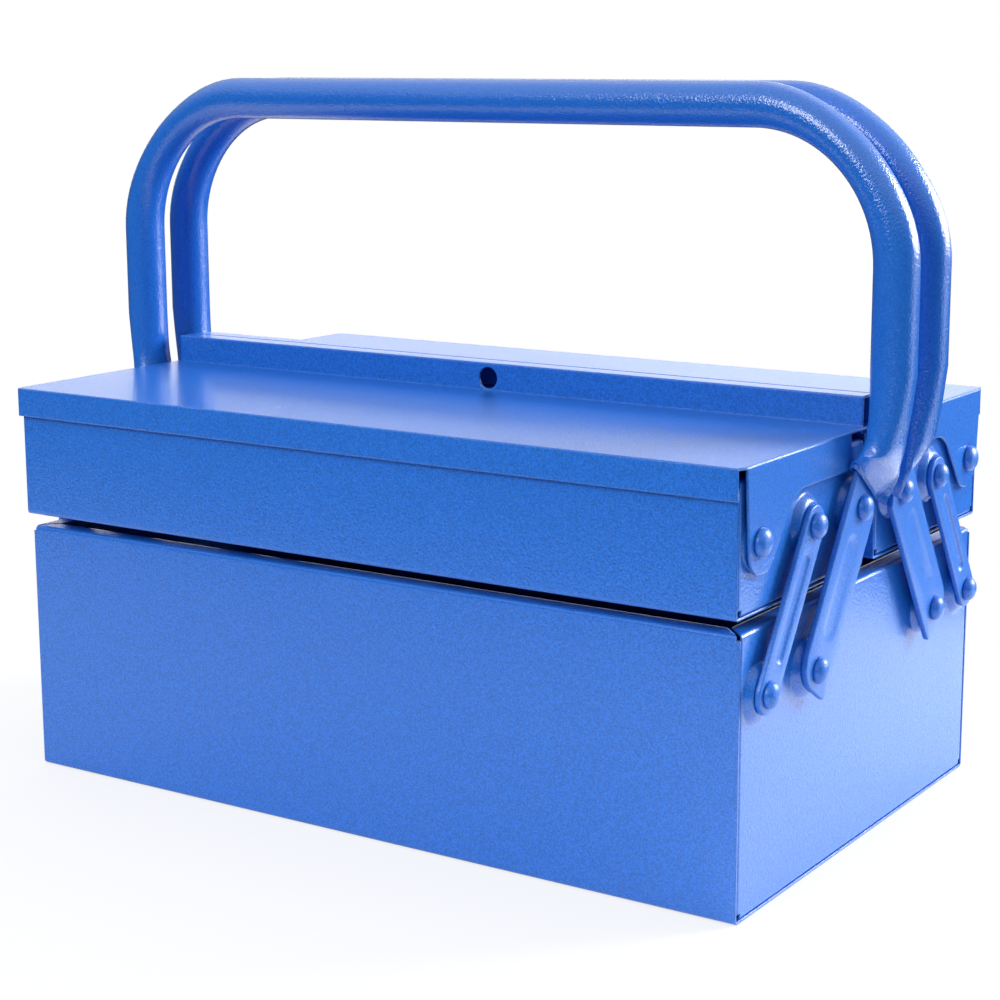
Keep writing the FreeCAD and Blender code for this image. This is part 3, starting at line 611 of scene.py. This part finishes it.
floor_mesh.materials.append(floor_material)

# World: white behind the object. The paint sees a studio that brightens towards the ceiling, with a bright low
# band behind the table, a thinner strip over all of the band but its left end, a pale patch low at the rear
# right, and dark walls elsewhere.
world = bpy.data.worlds.new("studio")
bpy.context.scene.world = world
world.use_nodes = True
tree = world.node_tree
tree.nodes.clear()
output = node(tree, "ShaderNodeOutputWorld")
white = node(tree, "ShaderNodeBackground", [("Color", (1, 1, 1, 1)), ("Strength", 1.0)])
studio = node(tree, "ShaderNodeBackground", [("Color", (0.95, 0.97, 1.0, 1))])
place = node(tree, "ShaderNodeTexCoord")
split = node(tree, "ShaderNodeSeparateXYZ")
tree.links.new(place.outputs["Generated"], split.inputs[0])
x, y, z = (split.outputs[axis] for axis in "XYZ")
ceiling = ramp_of(tree, z, 0.15, 0.75, 0.0, 0.95)
behind = ramp_of(tree, y, 0.35, 0.75, 0.0, 1.0)
band = maths(tree, "MULTIPLY", ramp_of(tree, z, 0.13, 0.19, 2.0, 0.3), ramp_of(tree, z, -0.02, 0.01, 0.0, 1.0))
strip_height = maths(
    tree, "MULTIPLY", ramp_of(tree, z, 0.19, 0.26, 1.0, 0.0), ramp_of(tree, z, 0.148, 0.165, 0.0, 1.0))
strip = maths(tree, "MULTIPLY", ramp_of(tree, x, -0.56, -0.44, 0.0, 1.2), strip_height)
patch_place = maths(tree, "MULTIPLY", ramp_of(tree, y, 0.2, 0.4, 0.0, 1.0), ramp_of(tree, z, -0.02, 0.08, 1.0, 0.0))
pale_patch = maths(tree, "MULTIPLY", ramp_of(tree, x, 0.62, 0.74, 0.0, 1.7), patch_place)
rear_wall = maths(tree, "MULTIPLY", behind, maths(tree, "ADD", band, strip))
level = maths(tree, "ADD", maths(tree, "ADD", ceiling, 0.06), maths(tree, "ADD", rear_wall, pale_patch))
tree.links.new(level, studio.inputs["Strength"])
rays = node(tree, "ShaderNodeLightPath")
mix = node(tree, "ShaderNodeMixShader")
tree.links.new(rays.outputs["Is Camera Ray"], mix.inputs[0])
tree.links.new(studio.outputs[0], mix.inputs[1])
tree.links.new(white.outputs[0], mix.inputs[2])
tree.links.new(mix.outputs[0], output.inputs[0])


def soft_box(name, place, target, size, power):
    """A square lamp that faces a target; metres and watts."""
    lamp = bpy.data.lights.new(name, "AREA")
    lamp.shape = "SQUARE"
    lamp.size = size
    lamp.energy = power
    stand = bpy.data.objects.new(name, lamp)
    bpy.context.scene.collection.objects.link(stand)
    stand.location = place
    stand.rotation_euler = (Vector(target) - Vector(place)).to_track_quat("-Z", "Y").to_euler()


soft_box("front", (-0.1, -1.4, 0.98), (0, 0, 0.1), 0.62, 14)
soft_box("right", (0.92, 1.05, 0.62), (0.15, 0, 0.1), 0.6, 29)

# The camera, fitted to the corners of the box in the photograph.
camera_data = bpy.data.cameras.new("camera")
camera_data.lens = 77.83
camera_data.sensor_width = 36.0
camera_data.shift_x = -0.0473
camera_data.shift_y = -0.0248
camera_data.clip_start = 0.01
camera_data.clip_end = 50.0
camera = bpy.data.objects.new("camera", camera_data)
bpy.context.scene.collection.objects.link(camera)
camera.location = (0.4435, -0.6641, 0.2669)
camera.rotation_euler = (math.radians(79.12), 0, math.radians(32.48))
bpy.context.scene.camera = camera
bpy.context.scene.view_settings.view_transform = "Standard"
